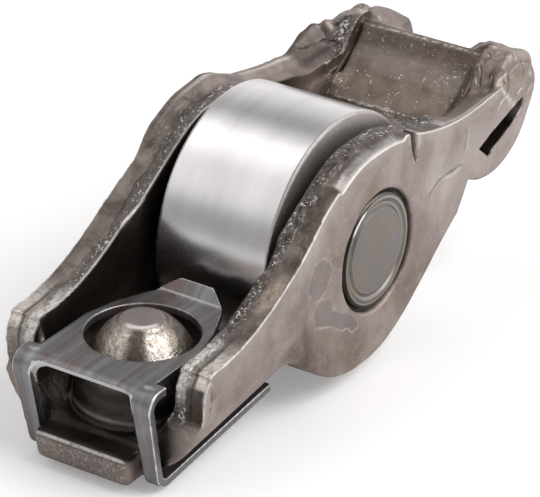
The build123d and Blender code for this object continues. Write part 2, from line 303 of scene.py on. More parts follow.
# %% the dome
from_dome = apart(x - dome_x, y)
dome = from_dome.between(4.7, 4.4) * z.between(-3.4, -2.8) * z.between(0.13, 0.02)
beaten = noise(2.6, 4, 0.75, warp=0.3)
skin = blend(dome * 0.75, skin, blend(
    beaten.between(0.38, 0.62), (0.300, 0.250, 0.205), (0.560, 0.500, 0.440)))


def toward(degrees):
    """How squarely a point of the dome lies in a direction seen from above, 1 at most."""
    turn = math.radians(degrees)
    return ((x - dome_x) * math.cos(turn) + y * math.sin(turn)) / from_dome


lit = toward(-125).between(0.90, 0.975).most(toward(172).between(0.93, 0.985) * 0.7)
lit = lit * from_dome.between(1.5, 1.7) * from_dome.between(4.0, 3.2)
skin = blend(dome * lit * 0.75, skin, blend(
    beaten.between(0.40, 0.56), (0.420, 0.350, 0.290), (0.860, 0.800, 0.740)))
# A painted dark reflection: the band of the dome's flank that faces the camera, between the painted
# highlights.
dark_reflection_band = dome * toward(-154).between(0.955, 0.99) * from_dome.between(1.3, 1.6)
skin = blend(dark_reflection_band * 0.8, skin, (0.095, 0.075, 0.062))
crown = from_dome.between(1.34, 1.28) * dome.most(z.between(-0.3, -0.2))
skin = blend(crown * 0.7, skin, (0.370, 0.335, 0.322))

# %% the valve pad
pad = apart(x - pad_x, z - pad_z)
pad = pad.between(7.35, 7.15) * across.between(5.1, 4.9) * x.between(11.5, 12.0)
skin = blend(pad * 0.75, skin, blend(
    stain.between(0.35, 0.65), (0.120, 0.088, 0.060), (0.225, 0.182, 0.145)))
# A painted highlight: a streaky lighter band across the pad's curve.
streaky = noise(1.0, 3, 0.6, tumbled.stretched(0.9, 0.28, 0.9, shift=(3, 4, 1)))
pad_highlight = (z - 4.9 + (streaky - 0.5) * 1.6).size().between(0.8, 0.1)
skin = blend(pad * pad_highlight * 0.55, skin, (0.400, 0.345, 0.310))

# %% cut edges: where they lie and what varies along them
cut = tumbled.painted("cut")
near = (y * -1).between(-1, 1)
inner_zone = (across + (noise(0.7, 3, 0.6) - 0.5) * 1.3).between(6.15, 5.85)
pits = noise(2.2, 5, 0.72, warp=0.4)
glints = noise(4.4, 2, 0.8, moved(3, 8, 1))
blotch = noise(0.55, 4, 0.6, moved(4, 2, 21), 0.6)
scaly = noise(2.1, 3, 0.7, moved(8, 1, 3), 0.8)

# %% the smooth part of the cut edges
far_rim = blend(blotch.between(0.38, 0.66), (0.120, 0.098, 0.086), (0.300, 0.258, 0.230))
# The near wall's rim is painted darker than the far wall's: painted shade.
near_rim = blend(blotch.between(0.38, 0.66), (0.085, 0.068, 0.060), (0.215, 0.180, 0.160))
dx, dy = x + 11.8, y + 6.9
patch = (dx * dx * 0.35 + dy * dy * 1.6).between(1.0, 0.3)
near_rim = blend(patch * beaten.between(0.3, 0.6), near_rim, (0.420, 0.345, 0.285))
coin = (x + 1.0) / 3.4
coin = (coin * coin).between(1.0, 0.92) * (y + stain * 0.8).between(-6.0, -6.2)
drag = noise(1.0, 3, 0.55, tumbled.stretched(0.45, 1.3, 0.45))
near_rim = blend(coin, near_rim, blend(
    drag.between(0.30, 0.70), (0.190, 0.176, 0.168), (0.340, 0.322, 0.312)))
front = (x * -1).between(15.0, 17.5)
# A painted highlight at the front end of the coined facet.
coin_highlight = coin * x.between(-3.2, -3.8)
near_rim = blend(coin_highlight * 0.85, near_rim, (0.740, 0.680, 0.635))
smooth_rim = blend(near, far_rim, near_rim)
# Painted sheen: high on the walls' front ends the cut edges are painted pale, the smooth part
# palest on the shelf along the outer band.
high = front * z.between(-2.6, -1.0)
shelf = across.between(6.60, 6.70) * z.between(-1.1, -0.9)
smooth_rim = blend(high * (0.30 + shelf * 0.6), smooth_rim, blend(
    scaly.between(0.36, 0.60), (0.480, 0.420, 0.380), (0.880, 0.825, 0.770)))
score = front * across.between(6.34, 6.44) * across.between(6.62, 6.54)
smooth_rim = blend(score * 0.75, smooth_rim, (0.070, 0.056, 0.048))

# %% the torn part of the cut edges, and the tongue's front face
torn = blend(pits.between(0.40, 0.62), (0.075, 0.064, 0.058), (0.210, 0.188, 0.172))
# The far wall's torn edge is painted lighter than the near wall's, which stays darker as painted
# shade.
torn = blend((1 - near) * 0.35, torn, (0.260, 0.230, 0.210))
# painted sheen on the torn part high on the front ends
torn = blend(high * 0.9, torn, blend(
    scaly.between(0.38, 0.58), (0.400, 0.350, 0.315), (0.950, 0.905, 0.855)))
skin = blend(cut, skin, blend(inner_zone, smooth_rim, torn))
tab_face = x.between(-21.8, -22.1) * z.between(-5.9, -6.1)
skin = blend(tab_face * 0.45, skin, (0.185, 0.168, 0.156))
# painted glints on the tongue's front face
skin = blend(tab_face * glints.between(0.52, 0.62) * 0.4, skin, (0.620, 0.585, 0.555))

# %% painted shade inside the trough and in deep corners, and painted glints
inside = tumbled.painted("inside")
skin = blend(inside * 0.97, skin, (0.046, 0.038, 0.032))
deep = tumbled.painted("deep")
skin = blend(deep * 0.85, skin, (0.045, 0.035, 0.028))
crowding = noise(0.8, 2, 0.5, moved(5, 15, 2)) - 0.5
glints = glints + crowding * 0.35
flecks = noise(2.4, 3, 0.75, moved(2, 6, 9), 0.4)
glint = glints.between(0.605, 0.645).most(flecks.between(0.66, 0.70)) * cut
glint = glint * (inner_zone + 0.12 + front * 0.25) * (1 - deep) * 0.9
glint = glint + glints.between(0.50, 0.60) * cut * front * inner_zone * 0.6
glint = glint.most(glints.between(0.665, 0.70) * pad * 0.9)

# %% rubbed rims, partly wear and partly painted highlight, and painted highlight lines
rubbed = (tumbled.painted("rubbed") * (grit * 1.2 + 0.3) - inside * 0.6).between(0.30, 0.85) * 0.6
edge = tumbled.painted("edge") * (blotch * 1.5 + grit * 0.6 - 0.2).between(0.1, 0.7)
# a painted highlight along the tab's top edge
tab_line = apart(x + 22.19, z + 6.09).between(0.15, 0.06)
edge = edge.most(tab_line * (glints * 1.6 + blotch - 0.75).between(0.0, 0.6) * 0.75)
gaps = x.between(12.2, 12.6) * across.between(5.2, 4.9) * glints.between(0.56, 0.46)
edge = edge * (1 - gaps)
bright = rubbed.most(rim * 0.30).most(edge).most(glint) * (1 - shaded_far_shoulder * 0.85)
skin = blend(bright * 0.9, skin, (0.860, 0.825, 0.790))
# painted shade over the far shoulder, laid over the painted highlights
skin = blend(shaded_far_shoulder * 0.70, skin, (0.105, 0.088, 0.080))

# %% the lever's relief and its material
scores = noise(1.0, 2, 0.5, tumbled.stretched(0.5, 1.0, 16, turn=(0, 0.6, 0)))
dents = noise(0.55, 3, 0.5, moved(13, 5, 2))
height = dents * 0.6 + noise(3.0, 4, 0.6) * 0.16 + grit * 0.05 - flat * 0.22
height = height + pits * cut * inner_zone * 0.9 + scores.between(0.60, 0.72) * -0.03
height = height + beaten * dome * 0.30 - seam * 0.7
roughness = 0.46 + grit * 0.14 - stain.between(0.4, 0.7) * 0.06 - cut * 0.06 - flat * 0.06
lever_steel = tumbled.finish(
    skin,
    roughness - dome * 0.20 - cut * high * 0.16 - inside * 0.12,
    tumbled.relief(height, 0.22),
    Metallic=0.92 - bright * 0.62 - cut * high * (1 - deep) * 0.25,
)
print("lever steel has", len(tumbled.tree.nodes), "nodes")

# %% [markdown]
# The clip is a strip of hard-rolled spring steel, blued in its heat treatment. Its
# colour runs in long brown and slate streaks the way it was rolled, its cut edges are
# bare bright metal with painted highlights, the fold of its rear tongue is one painted
# highlight line, and its inner corners are painted in shade.

# %% the clip's blued spring strip
blued = Finish("blued_spring_strip")
x, y, z = blued.parts(blued.at)
streak = blued.noise(1.0, 3, 0.55, blued.stretched(0.055, 1.15, 0.055, shift=(2, 9, 4)))
fine_streak = blued.noise(1.0, 3, 0.6, blued.stretched(0.12, 5.0, 0.12, shift=(5, 1, 4)))
strip = blued.node("ShaderNodeValToRGB", {"stops": [
    (0.34, (0.215, 0.178, 0.170)),
    (0.47, (0.240, 0.236, 0.244)),
    (0.60, (0.315, 0.314, 0.328)),
    (0.72, (0.410, 0.406, 0.410)),
]}, {"Fac": streak})
strip = blued.blend(fine_streak.between(0.52, 0.72) * 0.10, strip, (0.240, 0.180, 0.168))
for middle, width in ((1.35, 0.75), (-2.45, 0.45), (3.1, 0.45)):
    stripe = (width - (y - middle + (streak - 0.5) * 0.8).size()).between(0, 0.4)
    strip = blued.blend(stripe * fine_streak.between(0.2, 0.6) * 0.75, strip, (0.205, 0.140, 0.130))
top = z.between(-1.15, -0.85) * x.between(-21.6, -21.2)
strip = blued.blend(top * 0.16, strip, (0.045, 0.042, 0.044))
smear = blued.noise(0.7, 4, 0.6)
strip = blued.blend(smear.between(0.5, 0.72) * 0.3, strip, (0.420, 0.420, 0.425))
# painted shade in the clip's inner corners
strip = blued.blend(blued.painted("deep") * 0.6, strip, (0.05, 0.045, 0.042))
# a painted highlight along the crease of the fold
fold_highlight = (0.07 - (x + 10.62).size()).between(0, 0.04) * z.between(-1.6, -1.2)
# the rubbed edges are bare metal with painted highlights
bare_and_highlit = (blued.painted("rubbed") * (blued.noise(4.0, 3, 0.6) * 1.3 + 0.35)).between(0.25, 0.8)
bare_and_highlit = bare_and_highlit.most(fold_highlight * 0.35)
strip = blued.blend(bare_and_highlit * 0.88, strip, (0.800, 0.800, 0.800))
spring_steel = blued.finish(
    strip,
    0.36 + smear * 0.16 - bare_and_highlit * 0.08,
    blued.relief(fine_streak * 0.2 + blued.noise(6.0, 3, 0.6) * 0.2 + smear * 0.6, 0.03),
    Metallic=1.0 - bare_and_highlit * 0.6,
)
print("spring steel has", len(blued.tree.nodes), "nodes")

# %% [markdown]
# The roller is bearing steel, ground round and then superfinished: nearly a mirror, with
# hair-fine lines that run round it. Its flat sides are dark and dull from hardening. The
# pin and needles are the same steel, the pin turned on its ends and staked over.


# %% ground, turned and polished steels
def turned_steel(name, colour, dark, roughness, line_height, side=None, side_from=0.0, rings=False):
    """Bearing steel with hair lines round the Y axis, on the rim and on flat ends."""
    turned = Finish(name)
    x, y, z = turned.parts(turned.at)
    radius = (x * x + z * z) ** 0.5
    lines = turned.noise(1.0, 3, 0.7, turned.vector(radius * 14, y * 14, 0.0))
    haze = turned.noise(0.35, 3, 0.5, turned.vector(x * 0.35, y * 1.6, z * 0.35))
    specks = turned.noise(5.5, 3, 0.8)
    tone = turned.blend(haze.between(0.35, 0.7), dark, colour)
    if rings:
        band = turned.noise(1.0, 2, 0.6, turned.vector(radius * 2.3, 0.3, 0.0))
        outer = radius.between(2.5, 2.75) * 0.45 + 0.12
        tone = turned.blend(band.between(0.40, 0.62) * outer, tone, (0.130, 0.120, 0.114))
        for middle, shade in ((2.98, 0.08), (3.22, 0.50), (3.45, 0.09), (3.62, 0.55), (3.78, 0.07)):
            ring = (0.09 - (radius - middle + haze * 0.05).size()).between(0, 0.05)
            tone = turned.blend(ring * 0.6, tone, (shade, shade * 0.93, shade * 0.88))
        stained = turned.noise(0.45, 4, 0.6, warp=0.5)
        tone = turned.blend(stained.between(0.48, 0.66) * 0.55, tone, (0.290, 0.215, 0.155))
        tone = turned.blend(specks.between(0.55, 0.75) * 0.35, tone, (0.420, 0.400, 0.385))
        lower_left = ((x * -0.93 + z * -0.37) / radius).between(-0.25, 0.25)
        shade = radius.between(3.55, 3.68) * lower_left
        tone = turned.blend(shade * 0.92, tone, (0.022, 0.018, 0.016))
        upper_left = ((x * -0.61 + z * 0.79) / radius).between(0.955, 0.985)
        lit = (0.13 - (radius - 3.60).size()).between(0, 0.06) * upper_left
        tone = turned.blend(lit, tone, (0.950, 0.940, 0.930))
    shine = roughness + lines * 0.04 + specks.between(0.62, 0.75) * 0.06
    if side:
        flank = y.size().between(side_from, side_from + 0.08)
        lighter = tuple(channel * 1.6 for channel in side)
        tone = turned.blend(flank, tone, turned.blend(specks.between(0.3, 0.7), side, lighter))
        shine = shine + flank * 0.26
    # painted shade where a point is marked deep
    tone = turned.blend(turned.painted("deep") * 0.6, tone, (0.10, 0.085, 0.07))
    peel = turned.noise(1.6, 3, 0.6)
    relief = turned.relief(lines * 0.4 + peel + haze * 0.5, line_height)
    made = turned.finish(tone, shine, relief, Metallic=1.0)
    print(name, "has", len(turned.tree.nodes), "nodes")
    return made


ground_steel = turned_steel("ground_roller_steel", (0.83, 0.812, 0.822), (0.71, 0.694, 0.703),
                            0.225, 0.0016, (0.480, 0.445, 0.425), 4.02)
pin_steel = turned_steel("turned_pin_steel", (0.285, 0.262, 0.250), (0.215, 0.200, 0.190),
                         0.36, 0.004, rings=True)
needle_steel = turned_steel("needle_steel", (0.72, 0.72, 0.73), (0.60, 0.60, 0.61), 0.22, 0.001)

# %% [markdown]
# ## From solid to skin
# The lever and the clip are sheet metal with every corner a little round. Rounding
# hundreds of corners one by one fails sooner or later, so their solids are wrapped in a
# fine, even net of points instead, which a few rounds of smoothing then rounds like a
# tumbling drum does. The same net carries the numbers that the finishes read.


# %% helpers for nets
def mode(name):
    bpy.ops.object.mode_set(mode=name)


def alone(piece):
    bpy.ops.object.select_all(action="DESELECT")
    piece.select_set(True)
    bpy.context.view_layer.objects.active = piece


def wrapped(node, name, cell, rounds):
    """A copy of a CAD solid as an even net of points `cell` mm apart, smoothed."""
    piece = bpy.data.objects.new(name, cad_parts[node].data.copy())
    bpy.context.scene.collection.objects.link(piece)
    alone(piece)
    mode("EDIT")
    bpy.ops.mesh.select_all(action="SELECT")
    bpy.ops.mesh.remove_doubles(threshold=1e-6)
    mode("OBJECT")
    net = piece.modifiers.new("net", "REMESH")
    net.mode = "VOXEL"
    net.voxel_size = cell * MM
    bpy.ops.object.modifier_apply(modifier="net")
    tumble = piece.modifiers.new("tumble", "SMOOTH")
    tumble.factor, tumble.iterations = 0.5, rounds
    bpy.ops.object.modifier_apply(modifier="tumble")
    print(name, "has", len(piece.data.polygons), "faces")
    return piece


class Net:
    """The points of a mesh as arrays, in mm, with their normals and neighbours."""

    def __init__(self, piece):
        self.mesh = piece.data
        count = len(self.mesh.vertices)
        self.co = np.empty(count * 3)
        self.mesh.vertices.foreach_get("co", self.co)
        self.co = self.co.reshape(-1, 3) / MM
        self.normal = np.empty(count * 3)
        self.mesh.vertices.foreach_get("normal", self.normal)
        self.normal = self.normal.reshape(-1, 3)
        edges = np.empty(len(self.mesh.edges) * 2, dtype=int)
        self.mesh.edges.foreach_get("vertices", edges)
        self.a, self.b = edges.reshape(-1, 2).T
        self.degree = np.bincount(edges, minlength=count)

    def neighbours(self, values):
        """The mean of each point's neighbours' values."""
        total = np.bincount(self.a, values[self.b], len(values))
        total += np.bincount(self.b, values[self.a], len(values))
        return total / self.degree

    def spread(self, values, rounds):
        for _ in range(rounds):
            values = 0.5 * values + 0.5 * self.neighbours(values)
        return values

    def ease(self, share, rounds):
        """Moves points toward the middle of their neighbours by a share of the way."""
        for _ in range(rounds):
            for i in range(3):
                self.co[:, i] += share * (self.neighbours(self.co[:, i]) - self.co[:, i])

    def bulge(self, rounds):
        """How far in mm each point stands out of its surroundings; negative in a corner."""
        middle = np.stack([self.spread(self.co[:, i], rounds) for i in range(3)], 1)
        return ((self.co - middle) * self.normal).sum(1)

    def paint(self, name, values):
        layer = self.mesh.attributes.get(name) or self.mesh.attributes.new(name, "FLOAT", "POINT")
        layer.data.foreach_set("value", np.clip(values, 0, 1).astype(np.float32))

    def write(self):
        self.mesh.vertices.foreach_set("co", (self.co * MM).ravel())
        self.mesh.update()


def ramp(values, low, high):
    """0 below low, 1 above high, and an S-curve from one to the other."""
    t = np.clip((values - low) / (high - low), 0, 1)
    return t * t * (3 - 2 * t)


def stretch(values, start, full, fading, end):
    """1 from full to fading, and 0 before start and after end."""
    return ramp(values, start, full) * (1 - ramp(values, fading, end))


def hump(values, middle, width):
    """1 at the middle, fading to 0 on both sides over about the width."""
    return np.exp(-((values - middle) / width) ** 2)


def tell(name, share):
    print(name + ":", int((share > 0.5).sum()), "points")


def dress(piece, finish, body, node):
    """Gives a finished piece its steel and its body, and hides the CAD node that it stands for."""
    piece.data.materials.clear()
    piece.data.materials.append(finish)
    alone(piece)
    bpy.ops.object.shade_smooth()
    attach(piece, body)
    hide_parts(node)


# %% the pressed lever
lever_cell, clip_cell = 0.10, 0.07
lever = wrapped("lever_body", "pressed_lever", lever_cell, 4)
net = Net(lever)
x, y, z = net.co.T
side = np.abs(y)
from_step = np.abs(x - step_x)
near_step = (1 - ramp(from_step, 0.6, 2.0)) * ramp(-z, 2.6, 3.6) * ramp(side, 3.5, 4.5)
near_step = np.maximum(near_step, (1 - ramp(from_step, 0.5, 1.3))
                       * (1 - ramp(side, 5.3, 5.6)) * ramp(z, -4.2, -3.4))
near_step = np.maximum(near_step, 0.35 * ramp(-x, 20.3, 20.9) * ramp(-z, 4.6, 5.2))
net.ease(near_step, 70)
tell("step", near_step)

# %% [markdown]
# A press leaves its own marks. Beside the pin the wall dips where the trough's corner
# runs out, its top edge is coined flat over the roller, one blow left a small notch, and
# behind the roller the edge rolls inwards and meets the pad in a soft curl. Each is a
# smooth push on the points, with its place and depth in millimetres.


# %% how high the walls' top edge is along the lever
tenths = 500  # steps of 0.1 mm, from x = -25


def tenth(x):
    """The step that each x in mm falls into."""
    return ((x + 25) * 10).astype(int)


def along_wall(x, table):
    """A table with one value for each step, read at x."""
    return np.interp(x, np.arange(tenths) / 10 - 24.95, table)


x, y, z = net.co.T
side, outward = np.abs(y), np.sign(y)
near_side, far_side = y < 0, y > 0
shelf = np.full(tenths, -20.0)
on_wall = (side > 5.6) & (side < 6.8)
np.maximum.at(shelf, tenth(x[on_wall]), z[on_wall])
known = np.flatnonzero(shelf > -19)
shelf = np.interp(np.arange(tenths), known, shelf[known])
shelf = np.convolve(np.pad(shelf, 5, "edge"), np.ones(11) / 11, "valid")
wall_top = along_wall(x, shelf)
print("the walls' top edge reaches z", shelf.max().round(2), "mm")

# %% the floor behind the dome, the ring round the pin and the dip beside it
push = np.zeros_like(net.co)
dx, dy, dz = push.T  # adding to these adds to push
dx += ((1.2 + 0.5 * (side < 3.9)) * ramp(x, -10.9, -9.7) * (x < -9) * (z < -2.7)
               * (1 - ramp(side, 4.6, 5.2)))
ring = np.hypot(x, z)
dy -= outward * 0.28 * hump(ring, 4.02, 0.15) * ramp(side, 6.3, 6.9)
dip = hump(x + 8.9 + 0.12 * (z + 2), 0, 0.55) * ramp(-z, 0.2, 2.2) * ramp(side, 6.0, 7.0)
dy -= outward * 0.20 * dip
tell("dip", dip)

# %% the edge rolled inwards behind the roller, and the coined bevel over it
roll = stretch(x, 8.6, 11.2, 14.6, 16.6) * ramp(z, 3.7, 5.0) * ramp(side, 4.85, 5.0)
dz -= np.where(near_side, 0.95, 0.45) * roll * np.clip((7.25 - side) / 2.25, 0, 1) ** 1.3
coined = stretch(x, -4.9, -4.3, 2.7, 3.3) * near_side
bevel = np.clip((side - 6.05) / 1.2, 0, 1) + np.clip((z - wall_top + 0.75) / 0.75, 0, 1) - 1
dz -= 0.42 * coined * np.clip(bevel, 0, 1) * ramp(side, 6.0, 6.2)
tell("roll", roll)


# %% the notch in the near wall
def notch_at(x, z):
    """How far down the notch a point is, 1 at its foot, and its x from the notch's middle."""
    down = np.clip((6.5 - z) / 2.2, 0, 1)
    return down, x - notch_x - 0.20 * down


def notch_half(down):
    """Half the notch's width in mm."""
    return np.interp(down, [0, 0.35, 0.8, 1], [0.50, 0.44, 0.18, 0.03])


down, off = notch_at(x, z)
cleft = np.clip(1.2 - np.abs(off) / notch_half(down), 0, 1)
cleft *= ramp(-y, 5.9, 6.9) * ramp(z, 4.2, 4.5)
dy += 0.50 * cleft * (1 - 0.5 * down)
dz -= 0.22 * cleft * ramp(z, 6.2, 6.8)
tell("notch", cleft)

# %% the walls' front ends, the tongue, the dome's crown and the slits beside the pad
upper_end = ramp(-x, 19.2, 19.7) * ramp(z, -3.7, -3.3) * ramp(side, 4.9, 5.2)
dx += 0.42 * upper_end
tab = ramp(-x, 20.4, 21.0) * ramp(-z, 4.6, 5.3)
dz -= 0.22 * tab
dy += 0.20 * tab
from_dome = np.hypot(x - dome_x, y)
dz -= 0.16 * hump(from_dome, 1.60, 0.20) * (z > -0.6)
slit = (x > 12.9) * (x < 17.6) * (z > 3.0)
facing = net.normal[:, 1] * outward
dy -= (outward * 0.17 * slit * ramp(side, 4.94, 4.99) * (side < 5.35)
               * ramp(-facing, 0.2, 0.5))
dy += outward * 0.15 * slit * (side < 4.94) * ramp(side, 4.3, 4.6) * ramp(facing, 0.2, 0.5)
tell("front ends", upper_end)

# %% the far wall's uneven crest
top = ramp(z, wall_top - 1.3, wall_top - 0.3) * far_side * ramp(side, 5.9, 7.0)
crest = stretch(x, -6.9, -4.3, 0.5, 3.5) * top
dz += 0.42 * crest
dy += 0.25 * crest
dz += top * np.interp(
    x, [-3.0, 0.0, 1.0, 2.0, 3.5, 4.6, 5.4, 7.3, 10.0, 11.5, 12.5, 13.6, 14.6, 15.6],
    [0, 0.22, 0.40, 0.5, 0.46, 0.34, 0.40, 0.46, 0.48, 0.20, 0.26, 0.50, 0.30, 0])
dy += (0.26 * ramp(x, 3.0, 6.0) * (1 - ramp(x, 13.5, 15.5)) * far_side
               * ramp(z, wall_top - 2.2, wall_top - 0.6))
tell("crest", crest)

# %% the far lug's shoulder and peaks, and the rear of both lugs
shoulder = stretch(x, 10.5, 13.5, 14.8, 17.0) * far_side * ramp(side, 6.0, 7.0) * ramp(z, 4.2, 5.2)
knob = 0.50 * far_side * hump(x, 14.8, 0.8) * ramp(side, 5.8, 7.0) * ramp(z, 4.2, 5.2)
dz += 0.34 * shoulder + knob
dy += 0.24 * shoulder
peak = far_side * hump(x, 16.2, 1.0) * ramp(side, 5.6, 6.6) * ramp(z, 6.2, 7.0)
dz -= 0.30 * peak
dz -= 0.45 * hump(x, 17.8, 0.9) * ramp(y, 4.9, 5.9) * ramp(z, 6.0, 7.0)
dz += (0.05 * ramp(y, 2.0, 3.0) * (1 - ramp(y, 4.2, 5.2)) * hump(x, 18.8, 0.9)
               * ramp(z, 5.2, 6.2))
rear = ramp(x, np.where(far_side, 16.8, 18.3), np.where(far_side, 18.6, 19.5))
rear *= ramp(z, 2.0, 4.0)
rear *= np.where(far_side, ramp(side, 2.2, 3.2), ramp(side, 4.9, 5.2))
dx += np.where(far_side, 0.55, 0.35) * rear
net.co += push
print("deepest push", round(float(np.abs(push).max()), 2), "mm")

# %% the bend behind the dome, eased once more
x, y, z = net.co.T
eased = stretch(x, -12.2, -11.2, -7.8, -7.0) * ramp(-z, 1.4, 2.2) * ramp(np.abs(y), 4.0, 5.0)
net.ease(0.9 * eased, 60)
tell("eased", eased)

# %% the pad's curled sides
x, y, z = net.co.T
side = np.abs(y)
reach = np.hypot(x - pad_x, z - pad_z)
turn = np.degrees(np.arctan2(z - pad_z, x - pad_x))
along = np.clip((turn + 71.4) / 49.1, 0, 1)
arch = np.interp(along, [0, 0.12, 0.3, 0.55, 0.8, 1], [0.1, 0.85, 1.0, 0.75, 0.45, 0.0])
lift = np.where(y < 0, 1.05, 0.60) * arch * ramp(side, 3.4, 5.0) ** 1.4
lift = lift * (1 - ramp(reach, 6.9, 8.4)) * (side < 5.02) * ramp(reach, 6.0, 6.6)
lift *= ((turn > -76) & (turn < -18))
net.co[:, 0] -= lift * (x - pad_x) / reach
net.co[:, 2] -= lift * (z - pad_z) / reach
net.ease(0.5 * ramp(lift, 0.02, 0.2), 3)
print("pad curls up by", lift.max().round(2), "mm at its sides")


# %% creases and folds
def stroke(points, width):
    """1 on a line through (x, y, z) points in mm, fading to 0 over about the width."""
    nearest = np.full(len(net.co), 99.0)
    for first, last in zip(np.array(points[:-1]), np.array(points[1:])):
        step = last - first
        along = np.clip((net.co - first) @ step / (step @ step), 0, 1)
        away = net.co - first - along[:, None] * step
        nearest = np.minimum(nearest, np.linalg.norm(away, axis=1))
    return hump(nearest, 0, width)


# where each crease runs, its width and its depth in mm
grooves = np.zeros(len(net.co))
for points, width, depth in (
    ([(14.1, -6.2, 5.2), (15.0, -6.5, 5.7), (15.9, -6.9, 6.2)], 0.14, 0.16),
    ([(13.4, -5.7, 5.0), (14.6, -5.9, 5.7), (15.7, -6.2, 6.5), (16.3, -6.6, 6.8)], 0.13, 0.14),
    ([(14.9, 6.9, 6.0), (15.6, 6.3, 6.6), (16.3, 5.9, 7.0)], 0.16, 0.22),
    ([(12.55, 7.2, 5.9), (13.0, 6.95, 5.83), (13.8, 6.9, 5.91), (14.65, 6.8, 6.14),
      (14.97, 6.61, 6.22)], 0.12, 0.20),
    ([(17.2, 5.3, 7.2), (17.9, 5.6, 6.8), (18.6, 5.4, 6.2)], 0.16, 0.18),
    ([(17.5, -5.6, 7.0), (18.1, -6.2, 6.4), (18.9, -6.6, 5.6)], 0.15, 0.15),
    ([(18.9, -7.25, 3.4), (17.2, -7.25, 1.4), (15.6, -7.25, -0.5), (14.4, -7.25, -1.2)],
     0.16, 0.10),
    ([(13.6, -7.2, 0.6), (13.9, -7.2, -0.6), (14.6, -7.2, -0.4)], 0.14, 0.12),
    ([(10.8, -7.25, 4.26), (10.6, -7.25, 2.9)], 0.12, 0.08),
    ([(10.2, -7.25, 1.95), (7.4, -7.25, 2.0), (6.2, -7.25, 1.42)], 0.13, 0.10),
):
    line = stroke(points, width)
    net.co -= (depth * line)[:, None] * net.normal
    grooves = np.maximum(grooves, line)
tell("creases", grooves)

# %% painted highlights along folds: how bright, how wide in mm, and where
folds = np.zeros(len(net.co))
for amount, width, points in (
    (0.30, 0.22, [(10.9, -7.25, 4.3), (10.75, -7.25, 2.8)]),
    (0.35, 0.20, [(10.3, -7.25, 2.15), (9.2, -7.25, 1.55), (7.4, -7.25, 2.2), (6.2, -7.25, 1.62)]),
    (0.80, 0.14, [(7.9, -6.9, 5.7), (11.3, -6.9, 5.35), (14.1, -6.9, 5.6), (15.4, -7.0, 6.0),
                  (16.2, -7.05, 6.1)]),
    (1.00, 0.09, [(12.8, 4.8, 2.8), (12.8, 0.0, 2.72), (12.85, -3.4, 2.72), (13.2, -4.6, 3.4)]),
    (0.90, 0.10, [(16.9, 4.9, 6.65), (17.1, 0.0, 6.65), (17.0, -4.4, 6.6)]),
    (0.75, 0.12, [(15.0, -7.2, 5.9), (15.98, -7.25, 4.6), (16.9, -7.25, 3.6)]),
    (0.80, 0.13, [(14.8, 5.0, 5.3), (16.6, 5.05, 6.7), (17.1, 4.6, 6.9)]),
    (0.60, 0.16, [(17.4, -5.2, 7.3), (18.5, -6.3, 6.3), (19.5, -7.0, 4.9)]),
    (0.60, 0.20, [(17.6, 5.2, 7.2), (18.6, 6.0, 6.6), (19.6, 6.6, 5.6)]),
    (0.55, 0.16, [(19.2, -7.25, 3.2), (17.5, -7.25, 1.2), (15.9, -7.25, -0.7),
                  (14.6, -7.25, -1.45)]),
    (0.60, 0.10, [(-22.0, -3.7, -6.3), (-21.95, -3.95, -6.9), (-21.9, -4.05, -7.5)]),
):
    folds = np.maximum(folds, amount * stroke(points, width))
tell("folds", folds)

# %% lumps on the lugs
x, y, z = net.co.T
lumpy = (np.sin(1.7 * x + 2.3 * y) * np.sin(2.1 * z - 1.3 * x + 0.8)
         + 0.5 * np.sin(3.9 * y + 1.2 * x) * np.sin(3.1 * z))
ears = ramp(x, 13.0, 15.0) * ramp(np.abs(y), 5.0, 5.3) * ramp(z, 4.0, 5.5)
net.co -= (0.09 * (1.2 + lumpy) * ears)[:, None] * net.normal
print("lumps from", round(float(lumpy.min()), 2), "to", lumpy.max().round(2))

# %% uneven rims
bulge = net.bulge(5)
x, y, z = net.co.T
uneven = (np.sin(1.9 * x + 1.1 * z + 0.7) * np.sin(1.3 * z - 0.9 * x + 2.1)
          + 0.6 * np.sin(4.1 * x + 0.4) * np.sin(3.3 * z + y)
          + 0.4 * np.sin(7.7 * x + 1.9) * np.sin(6.1 * z + 0.3))
rim = net.spread(ramp(bulge, 0.015, 0.05), 3) * ramp(np.abs(y), 4.6, 5.0)
net.co -= (0.035 * (1 + uneven) * rim)[:, None] * net.normal
net.write()
tell("rims", rim)

# %% [markdown]
# The finished points now get the numbers that the lever's finish reads. `tilt` is 1 on a
# wall's flat face and 0 on an edge that looks up or forward.

# %% where the metal was cut, and the painted highlight along the outer rim
net = Net(lever)
x, y, z = net.co.T
side = np.abs(y)
wall_top = along_wall(x, shelf)
bulge = net.bulge(4)
print("bulge from", bulge.min().round(3), "to", bulge.max().round(3), "mm")
tilt = np.abs(net.normal[:, 1])
on_rim = ramp(z, -3.6, -3.2) * (1 - ramp(x, 16.0, 17.0))
cut = ramp(0.66 - tilt, 0, 0.2) * ramp(side, 4.7, 5.05) * on_rim
cut *= np.where(y > 0, 1 - ramp(x, 3.5, 6.5), 1 - ramp(x, 8.2, 9.6))
flank = (y > 5) * (x > 13.2) * (x < 17.0) * (side < 5.0 + 0.5 * (x - 13.2))
flank = flank * (net.normal[:, 2] > 0.2)
cut = np.maximum(cut, net.spread(flank.astype(float), 2))
outer_line = np.clip(1.25 - np.abs(tilt - 0.62) / 0.34, 0, 1) * ramp(side, 6.85, 7.05) * on_rim
outer_line *= np.where(x > -18.8, ramp(z, wall_top - 0.9, wall_top - 0.7), 1.0)

